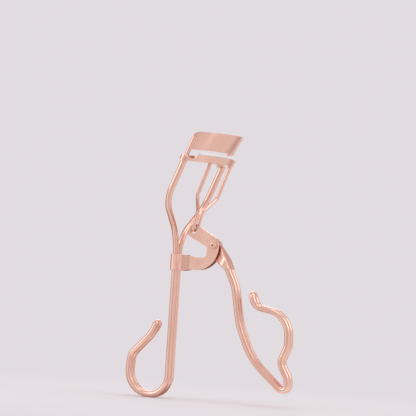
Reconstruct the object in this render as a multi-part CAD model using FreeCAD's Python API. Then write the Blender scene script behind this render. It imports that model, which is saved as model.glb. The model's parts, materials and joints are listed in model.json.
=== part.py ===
import FreeCAD, Part
import math
import os

V = FreeCAD.Vector

# ---------------------------------------------------------------- driving sizes, mm
WIRE_D = 2.4             # frame and handle wire
PAIR_GAP = 0.15          # between the two strands of a doubled wire
SHEET = 0.7              # folded bracket
LEVER_SHEET = 0.8        # folded lever, two layers pressed flat
SHANK_X = -16.2          # shank, measured from the pivot
COLLAR_TOP = -4.0
COLLAR_BOTTOM = -10.2
POST_LEAN = 22.9         # degrees, posts lean towards the moving handle
POST_HALF = 16.3         # post to the middle plane
KNEE = 15.9              # height of the bend below each post
KNEE_R = 12.5
FORK = 2.5               # height where the two strands part
FORK_R = 16.0
POST_TIP_D = 1.6         # turned-down end of each post
TIP_SHORT = 1.6          # tips stop this far below the upper jaw's top edge
JAW_BASE = 31.1          # underside of the lower jaw above the pivot
JAW_SAGITTA = 7.8
CHANNEL_W = 5.0
CHANNEL_H = 2.25
CHANNEL_WALL = 0.6
NOTCH_L = 0.8            # low place in the outer wall at each end, from the post's axis
NOTCH_H = 1.2
PAD_PROUD = 1.5          # pad above the channel
LASH_GAP = 0.75          # pad to upper jaw, as shown
PLATE_H = 6.75
PLATE_T = 0.8
PLATE_FLARE = 1.5        # extra bulge along the upper jaw's top edge
PLATE_CORNER = 3.2
PLATE_END = 0.4          # upper jaw's corners reach past the posts' axes, over the tips
LINK_D = 1.4
WELD = 0.3               # link runs on into the jaw's floor, and is trimmed flush with it
PRONG_Y = 8.4
PRONG_OUT = 1.4          # prongs sit outside the channel's middle line
RIVET_D = 2.0
RIVET_HEAD_R = 1.35
RIVET_HEAD_H = 1.0       # domed head on the near side, above the ear
RIVET_FLANGE_R = 1.8
RIVET_FLANGE_H = 0.3
RIVET_DIMPLE_R = 0.42
RIVET_DIMPLE_D = 0.5     # floor of the dimple above the ear
RIVET_TAIL_R = 1.7
RIVET_TAIL_H = 0.7
EAR_R = 2.3
FOLD_FLAT = 2.6          # fold keeps the shank's width this far past the shank
FOLD_NECK = 2.4          # then narrows to the ears over this length
FOLD_R = 1.2
CRIMP_R = 0.5
TONGUE_ANGLE = 152.0     # degrees from +X
TONGUE_L = 13.1
TONGUE_W = 5.3
TONGUE_OFF = 0.3         # middle line of the tongue above the pivot line
SLOT_REACH = 11.07       # pivot to the middle of the slot, along the tongue
SLOT_OFF = 0.65          # slot's middle above the pivot line
SLOT_L = 3.1
SLOT_W = 2.2
SLOT_TURN = 4.0          # degrees, slot leans this much less than the posts
LINK_SHIFT = 0.22        # link set off the slot's middle, square to the posts
LINK_LIFT = -0.15        # and up along them
PAD_SHORT = 3.2          # pad's ends stop this far before the posts
PAD_SOFT = 0.6           # rounding of the pad's top, share of its half width
TOOL_SPAN = 60.0         # cutting blocks, larger than any piece

# ---------------------------------------------------------------- clearances, mm
RUN = 0.06               # radial, a pin or post in its hole
SIDE = 0.15              # lever to each ear
SEAT = 0.02              # a piece seated in another
LINK_SIDE = 0.25         # link strand to the face of the lever

# ---------------------------------------------------------------- derived
WIRE_R = WIRE_D / 2
PAIR_Y = WIRE_R + PAIR_GAP / 2
LEVER_T = 2 * LEVER_SHEET
EAR_IN = LEVER_T / 2 + SIDE
EAR_OUT = EAR_IN + SHEET
WRAP_Y = PAIR_Y + WIRE_R
LINK_R = LINK_D / 2
STRAND_Y = LEVER_T / 2 + LINK_SIDE + LINK_R
LEAN = math.tan(math.radians(POST_LEAN))
CHORD_R = (POST_HALF ** 2 + JAW_SAGITTA ** 2) / (2 * JAW_SAGITTA)
POST_REF = V(-8.2, 0, 29.6)
PLATE_BASE = CHANNEL_H + PAD_PROUD + LASH_GAP

# forms: each corner is (x, z, radius), x and z from the pivot
FRAME_LOOP = [
    (SHANK_X, COLLAR_BOTTOM, 0),
    (SHANK_X, -59.1, 7.6),
    (-34.0, -58.0, 9.0),
    (-33.1, -43.7, 5.8),
    (-24.0, -34.5, 17.0),
    (-22.6, -30.9, 0),
]
HANDLE_FORM = [
    (4.8, -5.4, 0),
    (9.9, -15.3, 16.0),
    (12.6, -29.3, 24.0),
    (18.5, -42.2, 27.0),
    (34.3, -55.4, 2.0),
    (34.4, -48.8, 6.4),
    (30.8, -42.9, 4.2),
    (33.5, -36.6, 4.2),
    (33.1, -24.8, 9.6),
    (18.8, -22.4, 4.6),
    (17.5, -17.8, 0),
]
BRACKET_SIDE = [
    (-20, COLLAR_TOP, 0),
    (-12.4, COLLAR_TOP, 3.0),
    (-8.6, COLLAR_TOP - 0.85, 3.0),
    (-3.0, COLLAR_TOP - 0.85, 1.7),
    (-EAR_R - 0.1, EAR_R, EAR_R - 0.1),
    (EAR_R, EAR_R, EAR_R - 0.1),
    (EAR_R, -9.5, 9.3),
    (-9.5, -9.7, 6.0),
    (-13.0, COLLAR_BOTTOM, 3.0),
    (-20, COLLAR_BOTTOM, 0),
]
LEVER_ARM = [
    (1.0, 2.6, 4.0),
    (6.4, -5.6, 12.0),
    (8.3, -9.9, 0.5),
    (5.4, -8.9, 0.8),
    (0.9, -5.5, 1.0),
    (-1.6, -1.6, 3.5),
]
WRAP_FOOT = [(3.7, -2.6, 0), (6.5, -5.9, 0), (8.2, -9.9, 0), (5.3, -8.8, 0), (2.9, -6.0, 0)]
WRAP_CREST = [(5.3, -4.4, 0), (6.2, -6.2, 0), (7.7, -9.8, 0), (6.0, -9.2, 0), (4.3, -6.2, 0)]
LINK_BEND = (4.5, 0.1, 13.1)     # from the slot: along, beyond the prong's width, up
LINK_NECK = (1.8, 0.05, 7.0)
LINK_RADII = [0, 2.0, 4.0, 1.15]


def corner(p, q, r, radius):
    """Ends and middle of the arc that rounds the corner q."""
    a = (p - q).normalize()
    b = (r - q).normalize()
    half = a.getAngle(b) / 2
    reach = radius / math.tan(half)
    mid = (a + b).normalize()
    centre = q + mid * (radius / math.sin(half))
    return q + a * reach, centre - mid * radius, q + b * reach


def rounded(points, radii, closed=False):
    """Edges of a line through points with its corners rounded."""
    n = len(points)
    edges = []
    start = points[0]
    todo = range(n) if closed else range(1, n - 1)
    arcs = {}
    for i in todo:
        if radii[i] > 0:
            arcs[i] = corner(points[i - 1], points[i], points[(i + 1) % n], radii[i])
    if closed and 0 in arcs:
        start = arcs[0][2]
    for i in range(1, n + 1 if closed else n):
        k = i % n
        end = arcs[k][0] if k in arcs else points[k]
        if (end - start).Length > 1e-6:
            edges.append(Part.LineSegment(start, end).toShape())
        start = end
        if k in arcs:
            edges.append(Part.Arc(*arcs[k]).toShape())
            start = arcs[k][2]
    return edges


def rod(points, radii, radius):
    """Round wire along a rounded line."""
    path = Part.Wire(rounded(points, radii))
    along = path.Edges[0].tangentAt(path.Edges[0].FirstParameter)
    ring = Part.Wire([Part.makeCircle(radius, points[0], along)])
    return path.makePipeShell([ring], True, False)


def face_xz(corners, y=0.0):
    """Flat face from (x, z, corner radius) rows."""
    points = [V(x, y, z) for x, z, r in corners]
    return Part.Face(Part.Wire(rounded(points, [r for x, z, r in corners], True)))


def plate_y(corners, y0, y1):
    return face_xz(corners, y0).extrude(V(0, y1 - y0, 0))


def drum_y(radius, x, z, y0, y1):
    return Part.makeCylinder(radius, y1 - y0, V(x, y0, z), V(0, 1, 0))


def doubled(form, tip_radius):
    """Corners of a wire folded back on itself at the last point of a flat form."""
    there = [V(x, PAIR_Y, z) for x, z, r in form]
    back = [V(x, -PAIR_Y, z) for x, z, r in reversed(form)]
    radii = [r for x, z, r in form]
    radii[-1] = tip_radius
    return there + back, radii + radii[::-1]


def post_point(z):
    """Point on the axis of a post, taken in the middle plane."""
    return V(POST_REF.x + (z - POST_REF.z) * LEAN, 0, z)


def frame_wire():
    side = V(0, POST_HALF, 0)
    top = post_point(JAW_BASE + CHANNEL_H * 0.75) + side
    knee = post_point(KNEE) + side
    fork = V(SHANK_X, PAIR_Y, FORK)
    loop, radii = doubled(FRAME_LOOP, PAIR_Y - 0.01)
    head = [top, knee, fork]
    tail = [V(p.x, -p.y, p.z) for p in reversed(head)]
    bends = [0, KNEE_R, FORK_R] + radii[1:-1] + [FORK_R, KNEE_R, 0]
    wire = rod(head + loop[1:-1] + tail, bends, WIRE_R)
    up = (post_point(1) - post_point(0)).normalize()
    high = post_point(JAW_BASE + PLATE_BASE + PLATE_H - TIP_SHORT) + side
    for sign in (1, -1):
        base = V(top.x, top.y * sign, top.z)
        length = (high - top).Length
        wire = wire.fuse(Part.makeCone(WIRE_R, POST_TIP_D / 2, 0.6, base, up))
        wire = wire.fuse(Part.makeCylinder(POST_TIP_D / 2, length, base, up))
    return wire.removeSplitter()


def collar_plan(offset):
    """Plan of the bracket's fold: round the shank, pinched in, then along the ears."""
    radius = WIRE_R + SEAT + offset
    ear = EAR_IN + offset
    reach = WRAP_Y + SEAT + offset
    x1 = SHANK_X + WIRE_R + FOLD_FLAT
    x2 = x1 + FOLD_NECK
    points = [
        V(8, -ear, 0), V(8, ear, 0), V(x2, ear, 0), V(x1, reach, 0),
        V(SHANK_X - radius, reach, 0), V(SHANK_X - radius, -reach, 0),
        V(x1, -reach, 0), V(x2, -ear, 0),
    ]
    radii = [0, 0, FOLD_R, FOLD_R, radius * 0.98, radius * 0.98, FOLD_R, FOLD_R]
    return Part.Face(Part.Wire(rounded(points, radii, True)))


def bracket():
    depth = COLLAR_TOP - COLLAR_BOTTOM
    base = V(0, 0, COLLAR_BOTTOM - 2)
    outer = collar_plan(SHEET).extrude(V(0, 0, depth + 12))
    inner = collar_plan(0).extrude(V(0, 0, depth + 12))
    fold = outer.cut(inner)
    fold.translate(base)
    solid = fold.common(plate_y(BRACKET_SIDE, -6, 6))
    hole = drum_y(RIVET_D / 2, 0, 0, -6, 6)
    crimps = []
    for s in (1, -1):
        at = V(SHANK_X + WIRE_R + 0.55, s * (WRAP_Y + SEAT + SHEET + 0.15), COLLAR_BOTTOM - 1)
        crimps.append(Part.makeCylinder(CRIMP_R, depth + 2, at))
    return solid.cut([hole] + crimps)


def rim(shape, y):
    """Edges of a drum's end face at y."""
    return [e for e in shape.Edges if abs(e.CenterOfMass.y - y) < 1e-4]


def rivet():
    near = -EAR_OUT
    shank = drum_y(RIVET_D / 2, 0, 0, near - 0.2, EAR_OUT + 0.2)
    flange = drum_y(RIVET_FLANGE_R, 0, 0, near - RIVET_FLANGE_H, near)
    flange = flange.makeFillet(0.15, rim(flange, near - RIVET_FLANGE_H))
    head = drum_y(RIVET_HEAD_R, 0, 0, near - RIVET_HEAD_H, near)
    head = head.makeFillet(0.55, rim(head, near - RIVET_HEAD_H))
    dimple = drum_y(RIVET_DIMPLE_R, 0, 0, near - RIVET_HEAD_H - 0.2, near - RIVET_DIMPLE_D)
    tail = drum_y(RIVET_TAIL_R, 0, 0, EAR_OUT, EAR_OUT + RIVET_TAIL_H)
    tail = tail.makeFillet(0.35, rim(tail, EAR_OUT + RIVET_TAIL_H))
    return shank.fuse([flange, head, tail]).cut(dimple).removeSplitter()


def along_tongue(reach, off):
    """Point at a reach from the pivot along the tongue and off its middle line."""
    a = math.radians(TONGUE_ANGLE)
    return math.cos(a) * reach + math.sin(a) * off, math.sin(a) * reach - math.cos(a) * off


def slot_middle():
    return along_tongue(SLOT_REACH, SLOT_OFF)


def link_centre():
    x, z = slot_middle()
    a = math.radians(POST_LEAN)
    c = math.cos(a)
    s = math.sin(a)
    return x + c * LINK_SHIFT + s * LINK_LIFT, z - s * LINK_SHIFT + c * LINK_LIFT


def slot_cut():
    x, z = slot_middle()
    w = SLOT_W / 2
    h = SLOT_L / 2
    box = Part.makeBox(SLOT_W, 8, SLOT_L, V(-w, -4, -h))
    upright = [e for e in box.Edges if abs(e.tangentAt(e.FirstParameter).y) > 0.9]
    box = box.makeFillet(w * 0.9, upright)
    box.rotate(V(0, 0, 0), V(0, 1, 0), POST_LEAN - SLOT_TURN)
    box.translate(V(x, 0, z))
    return box


def lever():
    tip_top = along_tongue(TONGUE_L, TONGUE_OFF + TONGUE_W / 2)
    tip_low = along_tongue(TONGUE_L, TONGUE_OFF - TONGUE_W / 2)
    outline = [(*tip_top, 1.6)] + LEVER_ARM + [(*tip_low, 1.2)]
    solid = plate_y(outline, -LEVER_T / 2, LEVER_T / 2)
    cap_y = WRAP_Y + LEVER_SHEET
    for sign in (1, -1):
        a = face_xz(WRAP_FOOT, sign * LEVER_T / 2 * 0.9).OuterWire
        b = face_xz(WRAP_CREST, sign * cap_y).OuterWire
        solid = solid.fuse(Part.makeLoft([a, b], True, True))
    solid = solid.cut(drum_y(RIVET_D / 2 + RUN, 0, 0, -6, 6))
    return solid.cut(slot_cut())


def handle_wire(radius=WIRE_R):
    corners, radii = doubled(HANDLE_FORM, PAIR_Y - 0.01)
    return rod(corners, radii, radius)


def jaw_place(shape):
    """From the jaws' own frame to the object's."""
    shape.translate(post_point(JAW_BASE))
    return shape


def jaw_slant(height):
    return V(LEAN * height, 0, height)


def arc_band(radius, centre_x, inner, outer, z, reach):
    """Flat curved strip between two radii, out to half width reach."""
    rows = []
    for r, flip in ((radius + outer, 1), (radius + inner, -1)):
        half = math.asin(min(1.0, reach / radius))
        ends = [V(centre_x + r * math.cos(half), s * r * math.sin(half), z) for s in (-flip, flip)]
        rows.append((ends[0], V(centre_x + r, 0, z), ends[1]))
    return Part.Wire([
        Part.Arc(*rows[0]).toShape(),
        Part.LineSegment(rows[0][2], rows[1][0]).toShape(),
        Part.Arc(*rows[1]).toShape(),
        Part.LineSegment(rows[1][2], rows[0][0]).toShape(),
    ])


def band_solid(inner, outer, z0, z1, reach):
    """Curved strip that follows the posts' slant from z0 to z1."""
    flat = Part.Face(arc_band(CHORD_R, JAW_SAGITTA - CHORD_R, inner, outer, 0, reach))
    solid = flat.extrude(jaw_slant(z1 - z0))
    solid.translate(jaw_slant(z0))
    return solid


def post_drill(radius, z0, z1):
    """Both posts' holes in the jaws' own frame."""
    way = jaw_slant(1.0)
    low = way * z0
    length = (way * (z1 - z0)).Length
    drill = [Part.makeCylinder(radius, length, low + V(0, s * POST_HALF, 0), way) for s in (1, -1)]
    return drill[0].fuse(drill[1])


def tip_seats(z1):
    """Room for both posts' tips, up to their end faces, and nothing beyond their axes beside them."""
    way = jaw_slant(1.0)
    seats = post_drill(POST_TIP_D / 2, -2, z1)
    for s in (1, -1):
        beside = Part.makeBox(6, 3, 20, V(-3, 0 if s > 0 else -3, -20))
        beside.rotate(V(0, 0, 0), V(0, 1, 0), POST_LEAN)
        beside.translate(way * z1 + V(0, s * POST_HALF, 0))
        seats = seats.fuse(beside)
    return seats


def upper_jaw():
    z0 = PLATE_BASE
    sag = JAW_SAGITTA + PLATE_FLARE
    top_r = (POST_HALF ** 2 + sag ** 2) / (2 * sag)
    reach = POST_HALF + PLATE_END
    low = arc_band(CHORD_R, JAW_SAGITTA - CHORD_R, -PLATE_T / 2, PLATE_T / 2, 0, reach)
    high = arc_band(top_r, sag - top_r, -PLATE_T / 2, PLATE_T / 2, 0, reach)
    low.translate(jaw_slant(z0))
    high.translate(jaw_slant(z0 + PLATE_H))
    plate = Part.makeLoft([low, high], True, True)
    ends = []
    for e in plate.Edges:
        c = e.CenterOfMass
        if e.Length < 2 * PLATE_T and c.z > z0 + PLATE_H - 0.01 and abs(c.y) > POST_HALF - 1:
            ends.append(e)
    plate = plate.makeFillet(PLATE_CORNER, ends)
    plate = plate.cut(tip_seats(z0 + PLATE_H - TIP_SHORT))
    return jaw_place(plate)


def lower_jaw():
    half = CHANNEL_W / 2
    body = band_solid(-half, half, 0, CHANNEL_H, POST_HALF)
    room = half - CHANNEL_WALL
    groove = band_solid(-room, room, CHANNEL_WALL, CHANNEL_H + 1, POST_HALF + 1)
    eye_r = WIRE_R + RUN + CHANNEL_WALL
    eyes = post_drill(eye_r, 0.05, CHANNEL_H - 0.25)
    body = body.cut(groove)
    body = body.cut(end_notches()).fuse(eyes)
    body = body.cut(post_drill(WIRE_R + RUN, -3, 6))
    level = Part.makeBox(TOOL_SPAN, TOOL_SPAN, CHANNEL_H, V(-TOOL_SPAN / 2, -TOOL_SPAN / 2, 0))
    return jaw_place(body.common(level))


def end_notches():
    """Low places in the outer wall between each eye and the pad."""
    half = CHANNEL_W / 2
    inner = half - CHANNEL_WALL - 0.1
    tall = band_solid(inner, half + 1, CHANNEL_H - NOTCH_H, CHANNEL_H + 1, POST_HALF + 1)
    keep = POST_HALF - NOTCH_L
    middle = Part.makeBox(TOOL_SPAN, 2 * keep, 20, V(-TOOL_SPAN / 2, -keep, -5))
    return tall.cut(middle)


def pad():
    half = CHANNEL_W / 2 - CHANNEL_WALL - SEAT
    reach = POST_HALF - PAD_SHORT
    solid = band_solid(-half, half, CHANNEL_WALL + SEAT, CHANNEL_H + PAD_PROUD, reach)
    top = [f for f in solid.Faces if f.CenterOfMass.z > CHANNEL_H + PAD_PROUD - 0.01]
    solid = solid.makeFillet(half * PAD_SOFT, top[0].Edges)
    return jaw_place(solid)


def link():
    x, z = link_centre()
    arc_x = JAW_SAGITTA - CHORD_R + math.sqrt(CHORD_R ** 2 - PRONG_Y ** 2)
    head = V(arc_x + PRONG_OUT, PRONG_Y, 0) + post_point(JAW_BASE)
    bend = V(x, PRONG_Y, z) + V(*LINK_BEND)
    neck = V(x, STRAND_Y, z) + V(*LINK_NECK)
    foot = V(x, STRAND_Y, z)
    half = [head + jaw_slant(WELD), bend, neck, foot]
    back = [V(p.x, -p.y, p.z) for p in reversed(half)]
    return rod(half + back, LINK_RADII + LINK_RADII[::-1], LINK_R)


os.makedirs("parts", exist_ok=True)
parts = {
    "frame_wire": frame_wire(),
    "shank_bracket": bracket(),
    "upper_jaw": upper_jaw(),
    "pivot_rivet": rivet(),
    "lever": lever().cut(handle_wire(WIRE_R + SEAT)),
    "handle_wire": handle_wire(),
    "lower_jaw": lower_jaw(),
    "pad": pad(),
    "link_fork": link().cut(lower_jaw()),
}
box = Part.makeCompound(list(parts.values())).optimalBoundingBox(False)
shift = V(-box.Center.x, -box.Center.y, -box.ZMin)
for name, shape in parts.items():
    solid = shape.Solids[0]
    solid.translate(shift)
    solid.exportStep("parts/" + name + ".step")
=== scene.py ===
import json
import math

import bmesh
import bpy
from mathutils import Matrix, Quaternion, Vector
from mathutils.geometry import delaunay_2d_cdt


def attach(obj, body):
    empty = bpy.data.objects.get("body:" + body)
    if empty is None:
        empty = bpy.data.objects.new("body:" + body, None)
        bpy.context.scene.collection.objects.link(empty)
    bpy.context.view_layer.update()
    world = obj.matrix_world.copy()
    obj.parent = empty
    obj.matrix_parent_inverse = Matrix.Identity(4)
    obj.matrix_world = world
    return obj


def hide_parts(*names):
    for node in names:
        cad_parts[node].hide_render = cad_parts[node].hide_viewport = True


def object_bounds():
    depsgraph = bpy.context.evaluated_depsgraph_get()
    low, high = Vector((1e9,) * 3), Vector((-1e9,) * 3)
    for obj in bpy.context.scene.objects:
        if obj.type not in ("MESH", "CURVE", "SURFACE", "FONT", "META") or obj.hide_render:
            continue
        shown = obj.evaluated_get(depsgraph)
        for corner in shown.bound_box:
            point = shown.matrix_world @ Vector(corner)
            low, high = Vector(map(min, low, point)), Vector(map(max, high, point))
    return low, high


MM = 0.001
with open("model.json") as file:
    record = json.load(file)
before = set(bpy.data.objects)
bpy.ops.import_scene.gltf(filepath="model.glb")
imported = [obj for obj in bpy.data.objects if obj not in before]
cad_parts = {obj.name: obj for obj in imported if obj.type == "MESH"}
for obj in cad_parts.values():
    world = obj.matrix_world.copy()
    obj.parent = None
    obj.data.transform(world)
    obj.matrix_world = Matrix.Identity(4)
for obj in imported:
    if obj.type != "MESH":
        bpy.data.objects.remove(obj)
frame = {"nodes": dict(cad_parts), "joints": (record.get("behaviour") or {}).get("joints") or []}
cad_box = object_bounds()
low, high = cad_box
nodes = frame["nodes"]
PIVOT = Vector(frame["joints"][0]["pos_m"])

# ------------------------------------------------------------------ values

# camera: where it stands round the object, and what it looks at in mm from the pivot
AZIMUTH = 27.0
ELEVATION = -2.6
ROLL = 3.8
DISTANCE = 0.9
VIEW_WIDTH = 0.160
SENSOR = 36.0
LOOK_AT = (-4.27, 0, 14.36)

# colours, linear
BACKDROP = (0.76, 0.715, 0.748, 1)
ROSE = (0.79, 0.47, 0.385)
# painted shade: deep rose put into corners and hollows in place of shade
ROSE_PAINTED_SHADE = (0.62, 0.25, 0.17)
ROSE_PALE = (0.85, 0.575, 0.485)
SILICONE = (0.96, 0.94, 0.935)
DAYLIGHT = (1.0, 0.985, 0.98, 1)
PINK_CARD = (0.58, 0.38, 0.36)
PINK_GAP = (0.46, 0.25, 0.22)

# what glossy rays see in place of the plain backdrop, by share of the turn from -X
# through -Y, +X and +Y; above 1 is brighter than white
STRIP = 1.8                      # bright strip on the left of the camera
STRIP_SOFT = 1.25                # and a weaker one on the right
STUDIO_BANDS = [
    (0.00, PINK_GAP), (0.03, 0.84), (0.11, 0.85), (0.13, STRIP), (0.15, 0.83), (0.20, 0.82),
    (0.29, 0.86), (0.325, PINK_CARD), (0.36, 0.86), (0.45, 0.92), (0.47, STRIP_SOFT), (0.49, 0.92),
    (0.60, 0.94), (0.68, 0.88), (0.72, PINK_CARD), (0.77, 0.90), (0.90, 0.92), (0.96, PINK_GAP),
]
PAINTED_SHADE_REACH = 0.8 * MM           # how near a surface has to be for painted shade in a corner
FLOOR_R = 12.0
FADE_FROM, FADE_TO = 0.06, 0.30  # the floor turns into the backdrop between these radii

# how the meshes are finished; lengths in mm
CREASE = math.radians(42)        # edges sharper than this stay sharp
BEVEL_FROM = math.radians(38)    # edges sharper than this are rounded
NEARLY_FLAT = math.radians(0.6)  # edges flatter than this are dissolved
WELD = 0.002                     # vertices closer than this are one
SHEET_ROUND = 0.10               # rounding of the edges of bracket and lower jaw,
JAW_ROUND = 0.12                 # of the upper jaw
RIM_ROUND = 0.16                 # and of the lever
LOOP_STEP = 0.3                  # spacing of points along the lever's outline and slot

# the lever, mm from the pivot
TONGUE = math.radians(152)
TONGUE_REACH = 13.1
TONGUE_TOP, TONGUE_LOW = 2.95, -2.35
LEVER_ARM = [                    # the other corners and their radii
    (1.0, 2.6, 4.0), (6.4, -5.6, 12.0), (8.3, -9.9, 0.7),
    (5.4, -8.9, 1.2), (0.9, -5.5, 1.6), (-1.6, -1.6, 3.5),
]
SLOT_PLACE = (11.07, 0.65)
SLOT_SIZE = (2.2, 3.1)
SLOT_LEAN = math.radians(18.9)
HOLE_R = 1.06
HOLE_SIDES = 24
PLY = 0.8                        # one layer of the folded sheet
WRAP_TOP = 2.9                   # half thickness over the wires
FOLD_R = 0.6                     # rounding where the wrap's sheet turns
FOLD_DROP = 0.8                  # share of that rounding which is taken
EAR_CENTRE = (-7.0, -0.2)        # middle of the lower curve of the bracket's ears
EAR_CURVE = 9.3
SWELL_FROM, SWELL_OVER = 0.2, 4.2  # where the swelling starts past the ears, and its length
SWELL_POWER = 1.5
GRID_STEP = 0.32
GRID_CLEAR = 0.18                # least distance from a grid point to an edge
GRID_FROM = (-13.5, -11.0)
GRID_COUNT = (72, 64)

# the pad, mm
LEAN = math.tan(math.radians(22.9))  # of the jaws against the upright
JAW_FOOT = (-7.566, 31.1)        # underside of the lower jaw between the posts, from the pivot
ARC_R = 20.93                    # middle of the strip along the curve of the jaws
ARC_X = -13.13                   # centre of that curve, from JAW_FOOT
PAD_HALF = 1.86
PAD_TAPER = 0.6                  # how much of the inset the sides take
PAD_LOW, PAD_TOP = 0.64, 3.74
PAD_END = 13.05                  # half length, measured across
PAD_FOOT = 0.25                  # chamfer along the bottom
PAD_SOFT = 1.15                  # rounding of the top edges
PAD_CROWN = 0.04
PAD_SIDE = (1.5, 2.3)            # two heights on the straight sides
PAD_STATIONS = 72
PAD_CORNER_STEPS = 8


# ------------------------------------------------------------------ node helpers

def new_material(name):
    material = bpy.data.materials.new(name)
    material.use_nodes = True
    tree = material.node_tree
    return material, tree, tree.nodes["Principled BSDF"]


def add(tree, kind, **values):
    """A node; values name its properties or its input sockets."""
    node = tree.nodes.new(kind)
    for key, value in values.items():
        if hasattr(node, key):
            setattr(node, key, value)
        else:
            node.inputs[key.replace("_", " ")].default_value = value
    return node


def ramp(tree, source, stops):
    """Colour or grey by the value of source; stops are (place, grey or colour)."""
    node = add(tree, "ShaderNodeValToRGB")
    bar = node.color_ramp
    while len(bar.elements) < len(stops):
        bar.elements.new(0.5)
    for element, (place, colour) in zip(bar.elements, stops):
        element.position = place
        element.color = (*colour, 1) if isinstance(colour, tuple) else (colour, colour, colour, 1)
    tree.links.new(source, node.inputs["Fac"])
    return node.outputs["Color"]


def stretched(tree, scale):
    """Object coordinates scaled differently along each axis."""
    where = add(tree, "ShaderNodeTexCoord")
    mapping = add(tree, "ShaderNodeMapping")
    mapping.inputs["Scale"].default_value = scale
    tree.links.new(where.outputs["Object"], mapping.inputs["Vector"])
    return mapping.outputs["Vector"]


def noise(tree, scale, detail, vector, roughness=0.5):
    node = add(tree, "ShaderNodeTexNoise", Scale=scale, Detail=detail, Roughness=roughness)
    tree.links.new(vector, node.inputs["Vector"])
    return node.outputs["Fac"]


def mix_colour(tree, fac, a, b):
    """Mix of a and b, which are sockets or colours, by the socket fac."""
    node = add(tree, "ShaderNodeMix", data_type="RGBA")
    colour_in = [s for s in node.inputs if s.type == "RGBA"]
    for socket, value in ((node.inputs[0], fac), (colour_in[0], a), (colour_in[1], b)):
        if isinstance(value, bpy.types.NodeSocket):
            tree.links.new(value, socket)
        else:
            socket.default_value = (*value, 1)
    return [s for s in node.outputs if s.type == "RGBA"][0]


def relief(tree, shader, height, strength, distance):
    """Bump on the whole surface."""
    bump = add(tree, "ShaderNodeBump", Strength=strength)
    bump.inputs["Distance"].default_value = distance
    tree.links.new(height, bump.inputs["Height"])
    tree.links.new(bump.outputs["Normal"], shader.inputs["Normal"])


def plated(name, rough, scratch_scale, bump):
    """Rose-gold plated steel: two close tones, painted shade deeper in the corners, smears and fine
    polishing lines.
    """
    material, tree, shader = new_material(name)
    shader.inputs["Metallic"].default_value = 1.0
    even = stretched(tree, (1, 1, 1))
    lines = stretched(tree, scratch_scale)
    cloud = ramp(tree, noise(tree, 90, 4, even), [(0.35, 0.0), (0.65, 1.0)])
    between = tuple(0.5 * (a + b) for a, b in zip(ROSE, ROSE_PALE))
    tone = mix_colour(tree, cloud, ROSE, between)
    # painted shade: surfaces close to other surfaces are darkened to the deep rose, as shade would fall
    corner = add(tree, "ShaderNodeAmbientOcclusion", samples=8)
    corner.inputs["Distance"].default_value = PAINTED_SHADE_REACH
    painted_shade = ramp(tree, corner.outputs["AO"], [(0.15, 1.0), (0.7, 0.0)])
    tone = mix_colour(tree, painted_shade, tone, ROSE_PAINTED_SHADE)
    tree.links.new(tone, shader.inputs["Base Color"])
    smear = noise(tree, 160, 3, even)
    level = ramp(tree, smear, [(0.3, rough * 0.75), (0.7, rough * 1.35)])
    tree.links.new(level, shader.inputs["Roughness"])
    relief(tree, shader, noise(tree, 900, 6, lines, 0.65), bump, 0.02 * MM)
    return material


def silicone():
    """Soft white moulded pad, faintly translucent."""
    material, tree, shader = new_material("pad_silicone")
    even = stretched(tree, (1, 1, 1))
    cloud = noise(tree, 140, 3, even)
    tone = ramp(tree, cloud, [(0.3, tuple(0.95 * c for c in SILICONE)), (0.7, SILICONE)])
    tree.links.new(tone, shader.inputs["Base Color"])
    level = ramp(tree, noise(tree, 700, 4, even), [(0.3, 0.38), (0.7, 0.52)])
    tree.links.new(level, shader.inputs["Roughness"])
    shader.inputs["Subsurface Weight"].default_value = 0.2
    shader.inputs["Subsurface Radius"].default_value = (1.2 * MM, 0.9 * MM, 0.8 * MM)
    shader.inputs["Subsurface Scale"].default_value = 1.0
    relief(tree, shader, noise(tree, 1500, 3, even), 0.05, 0.03 * MM)
    return material


# ------------------------------------------------------------------ meshes

def place(p, y):
    """The point of the shared frame that lies p and y away from the pivot, in mm."""
    return PIVOT + Vector((p.x, y, p.y)) * MM


def finish_piece(bm, piece_name, node, body, material):
    """The mesh as a piece that rides on a body and stands for a CAD node."""
    mesh = bpy.data.meshes.new(piece_name)
    bm.to_mesh(mesh)
    bm.free()
    mesh.shade_smooth()
    mesh.set_sharp_from_angle(angle=CREASE)
    mesh.materials.append(material)
    piece = bpy.data.objects.new(piece_name, mesh)
    bpy.context.scene.collection.objects.link(piece)
    weighted = piece.modifiers.new("even_faces", "WEIGHTED_NORMAL")
    weighted.keep_sharp = True
    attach(piece, body)
    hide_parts(node)


def round_edges(bm, edges, width):
    bmesh.ops.bevel(
        bm, geom=edges, offset=width, segments=3, profile=0.5, affect="EDGES", clamp_overlap=True
    )


def softened(node, piece_name, width, body, material):
    """A copy of a sheet-metal node with every sharp edge rounded, which stands for that node."""
    bm = bmesh.new()
    bm.from_mesh(nodes[node].data)
    bmesh.ops.remove_doubles(bm, verts=bm.verts, dist=WELD * MM)
    bmesh.ops.dissolve_limit(bm, angle_limit=NEARLY_FLAT, verts=bm.verts, edges=bm.edges)
    sharp = [e for e in bm.edges if e.is_manifold and e.calc_face_angle() > BEVEL_FROM]
    round_edges(bm, sharp, width)
    finish_piece(bm, piece_name, node, body, material)


def dress(node, material):
    nodes[node].data.materials.clear()
    nodes[node].data.materials.append(material)


def rounded(form, steps=10):
    """Points round a loop of corners given as (x, z, radius), with those corners rounded."""
    points = [Vector((x, z)) for x, z, r in form]
    line = []
    for i, p in enumerate(points):
        radius = form[i][2]
        a = (points[i - 1] - p).normalized()
        b = (points[(i + 1) % len(points)] - p).normalized()
        half = a.angle(b) / 2
        centre = p + (a + b).normalized() * (radius / math.sin(half))
        u = p + a * (radius / math.tan(half)) - centre
        v = p + b * (radius / math.tan(half)) - centre
        turn = u.angle(v)
        for k in range(steps + 1):
            t = k / steps
            arm = u * math.sin((1 - t) * turn) + v * math.sin(t * turn)
            line.append(centre + arm / math.sin(turn))
    return line


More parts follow.
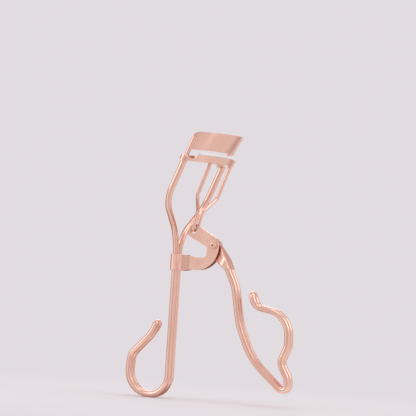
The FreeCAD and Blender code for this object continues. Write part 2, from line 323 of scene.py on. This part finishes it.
def evenly(loop):
    """A closed loop with its long runs divided into steps."""
    points = []
    for a, b in zip(loop, loop[1:] + loop[:1]):
        count = max(1, round((b - a).length / LOOP_STEP))
        points += [a.lerp(b, k / count) for k in range(count)]
    return points


def inside(p, loop):
    """Whether a point lies inside a closed loop."""
    odd = False
    for a, b in zip(loop, loop[1:] + loop[:1]):
        if (a.y > p.y) != (b.y > p.y) and p.x < a.x + (p.y - a.y) / (b.y - a.y) * (b.x - a.x):
            odd = not odd
    return odd


def off_loop(p, loop):
    """Distance from p to a closed loop."""
    best = math.inf
    for a, b in zip(loop, loop[1:] + loop[:1]):
        d = b - a
        t = max(0.0, min(1.0, (p - a).dot(d) / max(d.dot(d), 1e-12)))
        best = min(best, (a + d * t - p).length)
    return best


# ------------------------------------------------------------------ the lever

def on_tongue(reach, off):
    """Place at a reach along the lever's tongue and off to its upper side."""
    c, s = math.cos(TONGUE), math.sin(TONGUE)
    return c * reach + s * off, s * reach - c * off


def lever_loops():
    """Outline, slot and rivet hole of the lever."""
    top = (*on_tongue(TONGUE_REACH, TONGUE_TOP), 1.6)
    bottom = (*on_tongue(TONGUE_REACH, TONGUE_LOW), 1.2)
    w, h = SLOT_SIZE[0] / 2, SLOT_SIZE[1] / 2
    middle = Vector(on_tongue(*SLOT_PLACE))
    c, s = math.cos(SLOT_LEAN), math.sin(SLOT_LEAN)
    slot = []
    for x, z in ((-w, -h), (w, -h), (w, h), (-w, h)):
        slot.append((middle.x + c * x + s * z, middle.y - s * x + c * z, w * 0.9))
    hole = []
    for k in range(HOLE_SIDES):
        a = k / HOLE_SIDES * math.tau
        hole.append(Vector((math.cos(a), math.sin(a))) * HOLE_R)
    return evenly(rounded([top, *LEVER_ARM, bottom])), evenly(rounded(slot, 6)), hole


def sheet_height(p, outline):
    """Half thickness of the lever: two plies, flat, that swell past the ears to hold the wires."""
    past_ear = math.hypot(p.x - EAR_CENTRE[0], min(p.y - EAR_CENTRE[1], 0.0)) - EAR_CURVE
    climb = max(0.0, min(1.0, (past_ear - SWELL_FROM) / SWELL_OVER))
    rise = 1 - (1 - climb) ** SWELL_POWER
    left = max(0.0, FOLD_R - off_loop(p, outline))
    fold = FOLD_R - math.sqrt(FOLD_R ** 2 - left ** 2)
    return PLY + (WRAP_TOP - PLY - FOLD_DROP * fold) * rise


def lever_piece(material):
    """The folded sheet: two faces from one flat mesh with its slot and hole, joined at the rims."""
    loops = lever_loops()
    outline, slot, hole = loops

    def in_sheet(p):
        return inside(p, outline) and not inside(p, slot) and not inside(p, hole)

    points, edges = [], []
    for loop in loops:
        first = len(points)
        points += loop
        edges += [(first + k, first + (k + 1) % len(loop)) for k in range(len(loop))]
    for i in range(GRID_COUNT[0]):
        for j in range(GRID_COUNT[1]):
            x = GRID_FROM[0] + i * GRID_STEP + (j % 2) * GRID_STEP / 2
            p = Vector((x, GRID_FROM[1] + j * GRID_STEP))
            if in_sheet(p) and all(off_loop(p, loop) > GRID_CLEAR for loop in loops):
                points.append(p)
    where, _, faces = delaunay_2d_cdt(points, edges, [], 1, 1e-5)[:3]
    bm = bmesh.new()
    near = [bm.verts.new(place(p, -sheet_height(p, outline))) for p in where]
    far = [bm.verts.new(place(p, sheet_height(p, outline))) for p in where]
    for face in faces:
        middle = sum((where[k] for k in face), Vector((0, 0))) / len(face)
        if in_sheet(middle):
            bm.faces.new([near[k] for k in face])
            bm.faces.new([far[k] for k in reversed(face)])
    rims = [e for e in bm.edges if e.is_boundary]
    across = dict(zip(near, far))
    for e in rims:
        if e.verts[0] in across:
            a, b = e.link_loops[0].vert, e.link_loops[0].link_loop_next.vert
            bm.faces.new([b, a, across[a], across[b]])
    round_edges(bm, rims, RIM_ROUND * MM)
    bmesh.ops.delete(bm, geom=[v for v in bm.verts if not v.link_faces], context="VERTS")
    bmesh.ops.recalc_face_normals(bm, faces=bm.faces)
    finish_piece(bm, "lever_folded_sheet", "lever", "handle", material)


# ------------------------------------------------------------------ the pad

def pad_section(inset):
    """(across, height) pairs round the strip, drawn in by inset towards its ends."""
    half = PAD_HALF - PAD_TAPER * inset
    top = PAD_TOP - inset
    right = [(half, PAD_LOW + PAD_FOOT)] + [(half, height) for height in PAD_SIDE]
    for k in range(PAD_CORNER_STEPS + 1):
        a = k / PAD_CORNER_STEPS * math.pi / 2
        across = half - PAD_SOFT * (1 - math.cos(a))
        right.append((across, top - PAD_SOFT * (1 - math.sin(a)) - PAD_CROWN))
    bottom = [(-half + PAD_FOOT, PAD_LOW), (half - PAD_FOOT, PAD_LOW)]
    left = [(-across, height) for across, height in reversed(right)]
    return bottom + right + [(0.0, top)] + left


def pad_piece(material):
    """The silicone strip: crowned along its top, soft at its edges and at both ends."""
    bm = bmesh.new()
    reach = math.asin(PAD_END / ARC_R)
    rings = []
    for i in range(PAD_STATIONS + 1):
        turn = math.sin((i / PAD_STATIONS - 0.5) * math.pi) * reach
        to_end = (reach - abs(turn)) * ARC_R
        left = max(0.0, PAD_SOFT - to_end)
        inset = PAD_SOFT - math.sqrt(max(0.0, PAD_SOFT ** 2 - left ** 2))
        ring = []
        for across, height in pad_section(inset):
            r = ARC_R + across
            x = JAW_FOOT[0] + ARC_X + r * math.cos(turn) + LEAN * height
            ring.append(bm.verts.new(place(Vector((x, JAW_FOOT[1] + height)), r * math.sin(turn))))
        rings.append(ring)
    for a, b in zip(rings, rings[1:]):
        for k in range(len(a)):
            j = (k + 1) % len(a)
            bm.faces.new([a[k], a[j], b[j], b[k]])
    bm.faces.new(rings[0][::-1])
    bm.faces.new(rings[-1])
    bmesh.ops.recalc_face_normals(bm, faces=bm.faces)
    finish_piece(bm, "pad_strip", "pad", "carriage", material)


# ------------------------------------------------------------------ stage

def studio_bands(tree, space):
    """Upright bands round the object, pale, pink and two bright, which only glossy rays see."""
    where = add(tree, "ShaderNodeTexCoord")
    parts = add(tree, "ShaderNodeSeparateXYZ")
    tree.links.new(where.outputs[space], parts.inputs[0])
    turn = add(tree, "ShaderNodeMath", operation="ARCTAN2")
    tree.links.new(parts.outputs["Y"], turn.inputs[0])
    tree.links.new(parts.outputs["X"], turn.inputs[1])
    share = add(tree, "ShaderNodeMapRange")
    share.inputs["From Min"].default_value = -math.pi
    share.inputs["From Max"].default_value = math.pi
    tree.links.new(turn.outputs[0], share.inputs["Value"])
    return ramp(tree, share.outputs["Result"], STUDIO_BANDS)


def backdrop_floor():
    """Pale floor: the shadow shows near the object and fades out; glossy rays see the bands."""
    mesh = bpy.data.meshes.new("floor")
    bm = bmesh.new()
    bmesh.ops.create_circle(bm, cap_ends=True, radius=FLOOR_R, segments=96)
    bm.to_mesh(mesh)
    bm.free()
    floor = bpy.data.objects.new("floor", mesh)
    bpy.context.scene.collection.objects.link(floor)
    material, tree, shader = new_material("floor_pale")
    shader.inputs["Base Color"].default_value = BACKDROP
    shader.inputs["Roughness"].default_value = 0.85
    shader.inputs["Specular IOR Level"].default_value = 0.1
    where = add(tree, "ShaderNodeTexCoord")
    reach = add(tree, "ShaderNodeVectorMath", operation="LENGTH")
    tree.links.new(where.outputs["Object"], reach.inputs[0])
    fade = add(tree, "ShaderNodeMapRange", interpolation_type="SMOOTHSTEP")
    fade.inputs["From Min"].default_value = FADE_FROM
    fade.inputs["From Max"].default_value = FADE_TO
    tree.links.new(reach.outputs["Value"], fade.inputs["Value"])
    path = add(tree, "ShaderNodeLightPath")
    mirrored = path.outputs["Is Glossy Ray"]
    glow = add(tree, "ShaderNodeEmission")
    card = studio_bands(tree, "Object")
    tree.links.new(mix_colour(tree, mirrored, BACKDROP[:3], card), glow.inputs["Color"])
    straight = add(tree, "ShaderNodeMath", operation="MULTIPLY")
    tree.links.new(fade.outputs["Result"], straight.inputs[0])
    tree.links.new(path.outputs["Is Camera Ray"], straight.inputs[1])
    share = add(tree, "ShaderNodeMath", operation="MAXIMUM")
    tree.links.new(straight.outputs[0], share.inputs[0])
    tree.links.new(mirrored, share.inputs[1])
    mix = add(tree, "ShaderNodeMixShader")
    tree.links.new(share.outputs[0], mix.inputs["Fac"])
    tree.links.new(shader.outputs["BSDF"], mix.inputs[1])
    tree.links.new(glow.outputs["Emission"], mix.inputs[2])
    tree.links.new(mix.outputs[0], tree.nodes["Material Output"].inputs["Surface"])
    mesh.materials.append(material)


def world_light():
    """Plain light for matt surfaces, the bands for glossy rays, the backdrop for the camera."""
    world = bpy.data.worlds.new("studio")
    bpy.context.scene.world = world
    world.use_nodes = True
    tree = world.node_tree
    plain = tree.nodes["Background"]
    plain.inputs["Color"].default_value = DAYLIGHT
    plain.inputs["Strength"].default_value = 0.80
    studio = add(tree, "ShaderNodeBackground")
    tree.links.new(studio_bands(tree, "Generated"), studio.inputs["Color"])
    studio.inputs["Strength"].default_value = 1.0
    shown = add(tree, "ShaderNodeBackground")
    shown.inputs["Color"].default_value = BACKDROP
    path = add(tree, "ShaderNodeLightPath")
    first = add(tree, "ShaderNodeMixShader")
    tree.links.new(path.outputs["Is Glossy Ray"], first.inputs["Fac"])
    tree.links.new(plain.outputs[0], first.inputs[1])
    tree.links.new(studio.outputs[0], first.inputs[2])
    second = add(tree, "ShaderNodeMixShader")
    tree.links.new(path.outputs["Is Camera Ray"], second.inputs["Fac"])
    tree.links.new(first.outputs[0], second.inputs[1])
    tree.links.new(shown.outputs[0], second.inputs[2])
    tree.links.new(second.outputs[0], tree.nodes["World Output"].inputs["Surface"])


def away(azimuth, elevation):
    """Unit vector from the object towards a place round it."""
    a, e = math.radians(azimuth), math.radians(elevation)
    return Vector((math.sin(a) * math.cos(e), -math.cos(a) * math.cos(e), math.sin(e)))


def softbox(name, azimuth, elevation, distance, size, watts):
    """A rectangular lamp aimed at the middle of the object."""
    data = bpy.data.lights.new(name, "AREA")
    data.shape = "RECTANGLE"
    data.size, data.size_y = size
    data.energy = watts
    lamp = bpy.data.objects.new(name, data)
    bpy.context.scene.collection.objects.link(lamp)
    lamp.location = (low + high) / 2 + away(azimuth, elevation) * distance
    lamp.rotation_mode = "QUATERNION"
    lamp.rotation_quaternion = (-away(azimuth, elevation)).to_track_quat("-Z", "Y")


def camera():
    data = bpy.data.cameras.new("camera")
    data.sensor_width = SENSOR
    data.lens = SENSOR * DISTANCE / VIEW_WIDTH
    data.clip_start, data.clip_end = 0.01, 50
    cam = bpy.data.objects.new("camera", data)
    bpy.context.scene.collection.objects.link(cam)
    back = away(AZIMUTH, ELEVATION)
    cam.location = PIVOT + Vector(LOOK_AT) * MM + back * DISTANCE
    cam.rotation_mode = "QUATERNION"
    level = (-back).to_track_quat("-Z", "Y")
    cam.rotation_quaternion = level @ Quaternion((0, 0, 1), math.radians(ROLL))
    bpy.context.scene.camera = cam


# ------------------------------------------------------------------ build

camera()
wire = plated("rose_gold_wire", 0.16, (1, 1, 0.08), 0.02)
sheet = plated("rose_gold_sheet", 0.24, (0.1, 1, 1), 0.05)
polished = plated("rose_gold_rivet", 0.14, (1, 1, 1), 0.02)
white = silicone()

for name in ("frame_wire", "handle_wire", "link_fork"):
    dress(name, wire)
dress("pivot_rivet", polished)
pad_piece(white)
softened("shank_bracket", "bracket_sheet", SHEET_ROUND * MM, "frame", sheet)
softened("upper_jaw", "upper_jaw_plate", JAW_ROUND * MM, "frame", sheet)
lever_piece(sheet)
softened("lower_jaw", "lower_jaw_channel", SHEET_ROUND * MM, "carriage", sheet)

backdrop_floor()
world_light()
softbox("key", AZIMUTH + 65, 38, 0.8, (0.40, 0.50), 0.8)
softbox("fill", AZIMUTH - 75, 22, 0.8, (0.40, 0.50), 0.8)
softbox("top", AZIMUTH - 10, 74, 0.8, (0.42, 0.42), 0.6)
softbox("rear", AZIMUTH + 180, 35, 1.0, (0.5, 0.5), 1.0)

scene = bpy.context.scene
scene.view_settings.view_transform = "Standard"

bpy.context.view_layer.update()
